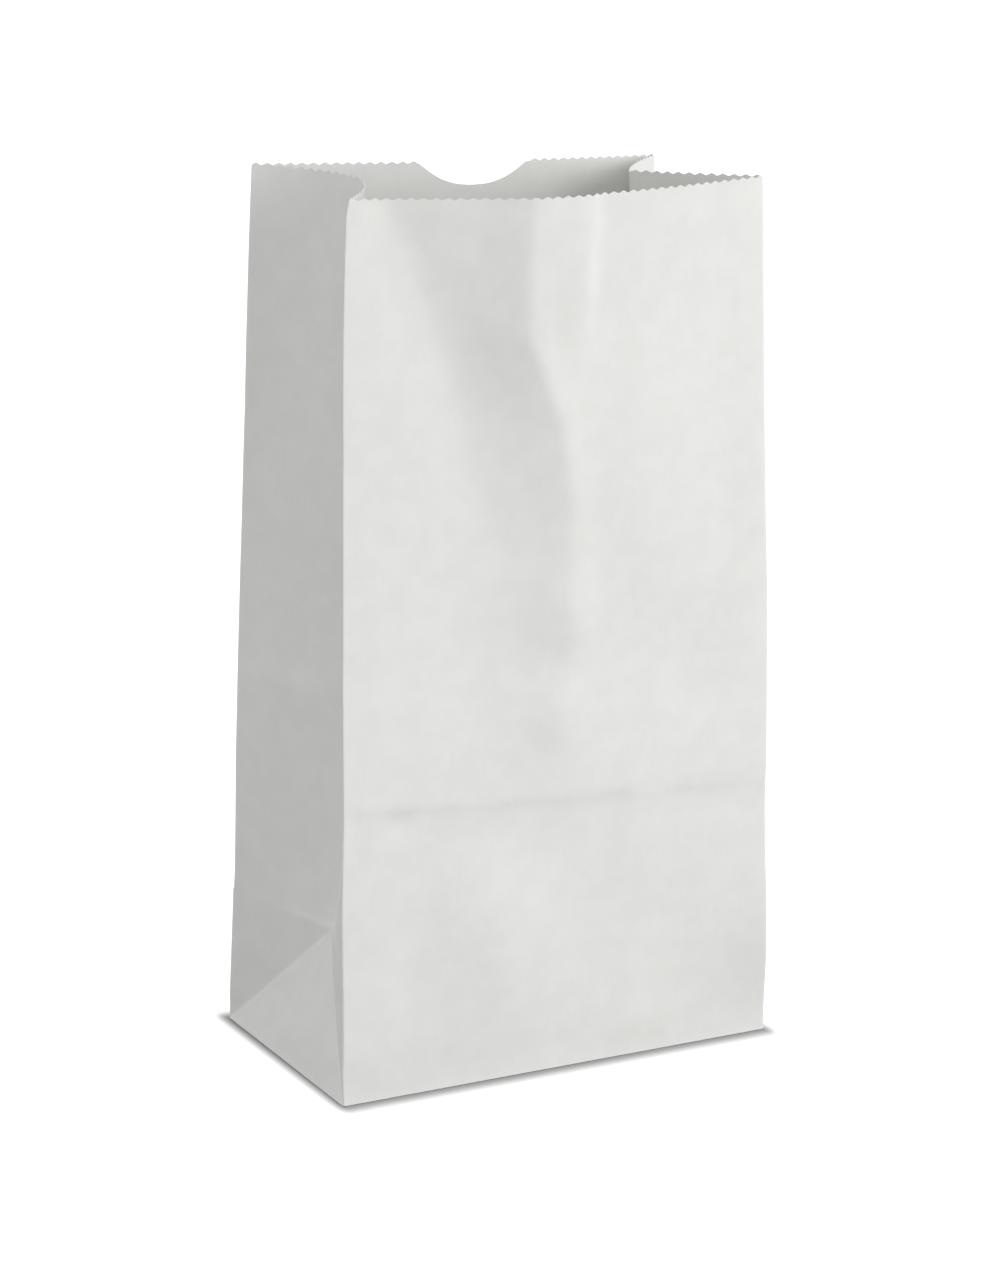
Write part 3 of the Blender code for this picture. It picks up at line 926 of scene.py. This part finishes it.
def thicken(sheet, fold):
    """Give the sheet its thickness."""
    bmesh.ops.recalc_face_normals(sheet, faces=sheet.faces)
    bmesh.ops.solidify(sheet, geom=sheet.faces[:], thickness=fold.sizes.paper)
    bmesh.ops.recalc_face_normals(sheet, faces=sheet.faces)


def lay(sheet, faces, offset):
    """Raise or sink some faces by a layer of paper, with a step at their edge."""
    raised = bmesh.ops.extrude_face_region(sheet, geom=faces)["geom"]
    bmesh.ops.delete(sheet, geom=faces, context="FACES")
    verts = [item for item in raised if isinstance(item, bmesh.types.BMVert)]
    bmesh.ops.translate(sheet, verts=verts, vec=offset)


def level_faces(sheet, fold, level, facing, inside):
    """Flat faces of the bottom at a level, facing up or down, with their middle inside a region."""
    chosen = []
    for face in sheet.faces:
        x, y, _ = face.calc_center_median()
        flat = all(abs(vert.co.z - level) < fold.near for vert in face.verts)
        if flat and face.normal.z * facing > LEVEL_FACING and inside(x, y):
            chosen.append(face)
    return chosen


def layer_bottom(sheet, fold, floor):
    """The layers of the folded bottom.

    From below: the seam, the rear flap, the front flap, then the side flaps. From above, the front flap shows
    between the side flaps, and the rear flap beyond its free edge.
    """
    paper = fold.sizes.paper
    down = (0, 0, -paper)
    lay(sheet, level_faces(sheet, fold, fold.base, -1, floor.on_long_flaps), down)
    lay(sheet, level_faces(sheet, fold, fold.base - paper, -1, floor.on_rear_flap), down)
    lay(sheet, level_faces(sheet, fold, fold.base - 2 * paper, -1, floor.on_seam), down)
    lay(sheet, level_faces(sheet, fold, fold.base + paper, 1, floor.between_side_flaps), down)
    lay(sheet, level_faces(sheet, fold, fold.base, 1, floor.beyond_front_flap), down)


def mark_seam(sheet, fold):
    """Remember the faces of the lap, which stay the same paper wherever the sheet is folded."""
    mark = sheet.faces.layers.int.new("seam")
    lap = fold.sizes.seam_lap / 2
    for face in sheet.faces:
        u = face.calc_center_median().x
        face[mark] = int(u < lap or u > fold.round - lap)


def layer_seam(sheet, fold):
    """The lap up the outside of the rear panel."""
    mark = sheet.faces.layers.int["seam"]
    lap = [face for face in sheet.faces if face[mark] and face.normal.y > REAR_FACING]
    lay(sheet, lap, (0, fold.sizes.paper, 0))


def paper_material(finish):
    """White kraft paper: cloudy formation, an upright grain, fine fibres, and a painted highlight that makes
    the folds a little paler.
    """
    material = bpy.data.materials.new("white kraft paper")
    material.use_nodes = True
    board = Board(material.node_tree)
    shader = material.node_tree.nodes["Principled BSDF"]
    flat = board.out(board.node("ShaderNodeUVMap", {"uv_map": "paper"}))
    stretched = board.node("ShaderNodeMapping", _0=flat)
    stretched.inputs["Scale"].default_value = STREAK_STRETCH
    upright = board.out(stretched)

    def noise(place, scale, detail, roughness, distortion=0.0):
        settings = {"Scale": scale, "Detail": detail, "Roughness": roughness, "Distortion": distortion}
        return board.out(board.node("ShaderNodeTexNoise", _0=place, **settings))

    def mixed(share, first, second):
        mix = board.node("ShaderNodeMix", {"data_type": "RGBA"}, _0=share, _6=first, _7=second)
        return board.out(mix, 2)

    clouds = noise(flat, 1 / finish.grain, 3.0, 0.5)
    streaks = noise(upright, STREAK_SCALE, 3.0, 0.55)
    fibres = noise(flat, FIBRE_SCALE, 2.0, 0.5, FIBRE_DISTORTION)
    thin = board.ramp(clouds * CLOUD_SHARE + streaks * (1 - CLOUD_SHARE), THIN_LOW, THIN_HIGH)
    fold_highlight = board.out(board.node("ShaderNodeAttribute", {"attribute_name": "fold_highlight"}), "Fac")
    body = mixed(thin, (*finish.shade, 1.0), (*finish.colour, 1.0))
    # Painted highlight: the folds are painted towards a paler colour, standing in for the light their ridges
    # catch
    board.join(mixed(fold_highlight * FOLD_HIGHLIGHT_SHARE, body, FOLD_HIGHLIGHT_COLOUR), shader.inputs["Base Color"])
    board.join(finish.roughness + (streaks - 0.5) * STREAK_ROUGHNESS, shader.inputs["Roughness"])
    height = clouds * RELIEF_MIX[0] + streaks * RELIEF_MIX[1] + fibres * RELIEF_MIX[2]
    grain = board.node("ShaderNodeBump", Strength=RELIEF_STRENGTH, Distance=RELIEF_DEPTH, Height=height)
    board.join(board.out(grain), shader.inputs["Normal"])
    shader.inputs["Specular IOR Level"].default_value = PAPER_SPECULAR
    return material


class PAPERBAG_OT_fold_bag(bpy.types.Operator):
    """Cut, fold and stand the bag"""

    bl_idname = "paperbag.fold_bag"
    bl_label = "Fold Bag"

    def execute(self, context):
        sizes = context.scene.bag_sizes
        fold = Fold(sizes)
        floor = Floor(fold)
        material = paper_material(context.scene.paper_finish)
        sheet = flat_tube(fold, sizes.teeth)
        blank = bpy.data.meshes.new("blank")
        sheet.to_mesh(blank)
        sheet.free()
        pinked = run_tree(
            blank,
            pinking_tree(material),
            {
                "Mouth Height": fold.height,
                "Band": RIM_BAND,
                "Tooth Pitch": fold.round / sizes.teeth,
                "Tooth Depth": sizes.tooth_depth,
                "Sheet Length": fold.round,
                "Notch Centre": sizes.notch_offset,
                "Notch Width": sizes.notch_width,
                "Notch Depth": sizes.notch_depth,
                "Notch Roundness": sizes.notch_roundness,
            },
        )
        sheet = bmesh.new()
        sheet.from_mesh(pinked)
        score_gussets(sheet, fold)
        mark_seam(sheet, fold)
        fold_up(sheet, fold)
        close_foot(sheet, fold, floor)
        pink_flaps(sheet, fold, floor)
        map_floor(sheet, fold)
        thicken(sheet, fold)
        layer_bottom(sheet, fold, floor)
        layer_seam(sheet, fold)
        mesh = bpy.data.meshes.new("standing_bag")
        sheet.to_mesh(mesh)
        sheet.free()
        mesh.materials.clear()
        mesh.materials.append(material)
        mesh.shade_smooth()
        mesh.set_sharp_from_angle(angle=SHARP_ANGLE)
        bag = bpy.data.objects.new("standing_bag", mesh)
        context.scene.collection.objects.link(bag)
        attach(bag, "root")
        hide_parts("paper_bag")
        return {"FINISHED"}


def floor_material(half_width, half_depth):
    """A grey floor that glows white to the camera, apart from a painted shadow band round the bag's foot, in
    which its real shadow also shows.
    """
    material = bpy.data.materials.new("studio floor")
    material.use_nodes = True
    board = Board(material.node_tree)
    shader = material.node_tree.nodes["Principled BSDF"]
    shader.inputs["Base Color"].default_value = FLOOR_COLOUR
    shader.inputs["Roughness"].default_value = FLOOR_ROUGHNESS
    shader.inputs["Specular IOR Level"].default_value = 0.0
    shader.inputs["Emission Color"].default_value = WHITE
    place = board.out(board.node("ShaderNodeTexCoord"), "Object")
    parts = board.node("ShaderNodeSeparateXYZ", _0=place)
    beside = board.maths("MAXIMUM", board.maths("ABSOLUTE", board.out(parts, "X")) - half_width, 0.0)
    before = board.maths("MAXIMUM", board.maths("ABSOLUTE", board.out(parts, "Y")) - half_depth, 0.0)
    away = (beside * beside + before * before * PAINTED_SHADOW_STRETCH) ** 0.5
    seen = board.out(board.node("ShaderNodeLightPath"), "Is Camera Ray")
    # Painted shadow: the white glow fades out towards the bag's foot, leaving a grey band round it
    board.join(seen * board.ramp(away, 0.0, PAINTED_SHADOW_BAND), shader.inputs["Emission Strength"])
    return material


def studio_world(ambient):
    """Pale surroundings, brighter overhead: even light on the bag, and plain white to the camera."""
    world = bpy.data.worlds.new("studio")
    world.use_nodes = True
    board = Board(world.node_tree)
    path = board.node("ShaderNodeLightPath")
    seen = board.maths("MAXIMUM", board.out(path, "Is Camera Ray"), board.out(path, "Is Glossy Ray"))
    seen = board.maths("MAXIMUM", seen, board.out(path, "Is Transmission Ray"))
    direction = board.out(board.node("ShaderNodeTexCoord"), "Generated")
    direction = board.node("ShaderNodeSeparateXYZ", _0=direction)
    overhead = board.maths("MAXIMUM", board.out(direction, "Z"), 0.0)
    level = ambient * (LEVEL_AROUND + overhead * LEVEL_OVERHEAD)
    background = world.node_tree.nodes["Background"]
    background.inputs["Color"].default_value = WHITE
    board.join(level + seen * (1 - level), background.inputs["Strength"])
    return world


def area_light(name, place, size, power):
    """A round lamp turned towards the bag."""
    lamp = bpy.data.lights.new(name, "AREA")
    lamp.shape = "DISK"
    lamp.size = size
    lamp.energy = power
    light = bpy.data.objects.new(name, lamp)
    light.location = place
    light.rotation_euler = (Vector(LIGHT_TARGET) - Vector(place)).to_track_quat("-Z", "Y").to_euler()
    bpy.context.scene.collection.objects.link(light)


def studio_floor(sizes):
    """One large level face under the bag."""
    mesh = bpy.data.meshes.new("studio_floor")
    corners = [(x * FLOOR_REACH, y * FLOOR_REACH, 0) for x, y in ((-1, -1), (1, -1), (1, 1), (-1, 1))]
    mesh.from_pydata(corners, [], [(0, 1, 2, 3)])
    mesh.materials.append(floor_material(sizes.width / 2, sizes.depth / 2))
    ground = bpy.data.objects.new("studio_floor", mesh)
    bpy.context.scene.collection.objects.link(ground)
    return ground


def studio_camera(studio):
    """The camera, turned towards the bag from its azimuth, elevation and distance."""
    optics = bpy.data.cameras.new("camera")
    optics.lens = studio.lens
    optics.sensor_width = FILM_WIDTH
    camera = bpy.data.objects.new("camera", optics)
    bpy.context.scene.collection.objects.link(camera)
    azimuth, elevation = studio.azimuth, studio.elevation
    level = math.cos(elevation)
    back = Vector((math.sin(azimuth) * level, -math.cos(azimuth) * level, math.sin(elevation)))
    camera.location = Vector(CAMERA_TARGET) + back * studio.distance
    camera.rotation_euler = (-back).to_track_quat("-Z", "Y").to_euler()
    return camera


class PAPERBAG_OT_set_stage(bpy.types.Operator):
    """Set the floor, the lights and the camera"""

    bl_idname = "paperbag.set_stage"
    bl_label = "Set Stage"

    def execute(self, context):
        scene = context.scene
        studio = scene.studio_settings
        studio_floor(scene.bag_sizes)
        scene.world = studio_world(studio.ambient)
        area_light("key", KEY_PLACE, KEY_SIZE, studio.key)
        area_light("fill", FILL_PLACE, FILL_SIZE, studio.fill)
        scene.camera = studio_camera(studio)
        scene.view_settings.view_transform = "Standard"
        return {"FINISHED"}


class PAPERBAG_PT_panel(bpy.types.Panel):
    """The steps and settings of the paper bag"""

    bl_label = "Paper Bag"
    bl_idname = "PAPERBAG_PT_panel"
    bl_space_type = "VIEW_3D"
    bl_region_type = "UI"
    bl_category = "Paper Bag"

    def draw(self, context):
        for settings in (context.scene.bag_sizes, context.scene.paper_finish, context.scene.studio_settings):
            box = self.layout.box()
            for name in settings.__annotations__:
                box.prop(settings, name)
        self.layout.operator(PAPERBAG_OT_fold_bag.bl_idname)
        self.layout.operator(PAPERBAG_OT_set_stage.bl_idname)


CLASSES = (
    BagSizes,
    PaperFinish,
    StudioSettings,
    PAPERBAG_OT_fold_bag,
    PAPERBAG_OT_set_stage,
    PAPERBAG_PT_panel,
)


def register():
    for cls in CLASSES:
        bpy.utils.register_class(cls)
    bpy.types.Scene.bag_sizes = PointerProperty(type=BagSizes)
    bpy.types.Scene.paper_finish = PointerProperty(type=PaperFinish)
    bpy.types.Scene.studio_settings = PointerProperty(type=StudioSettings)


def unregister():
    del bpy.types.Scene.studio_settings
    del bpy.types.Scene.paper_finish
    del bpy.types.Scene.bag_sizes
    for cls in reversed(CLASSES):
        bpy.utils.unregister_class(cls)


def main():
    register()
    bpy.ops.paperbag.fold_bag()
    bpy.ops.paperbag.set_stage()


if __name__ == "__main__":
    main()
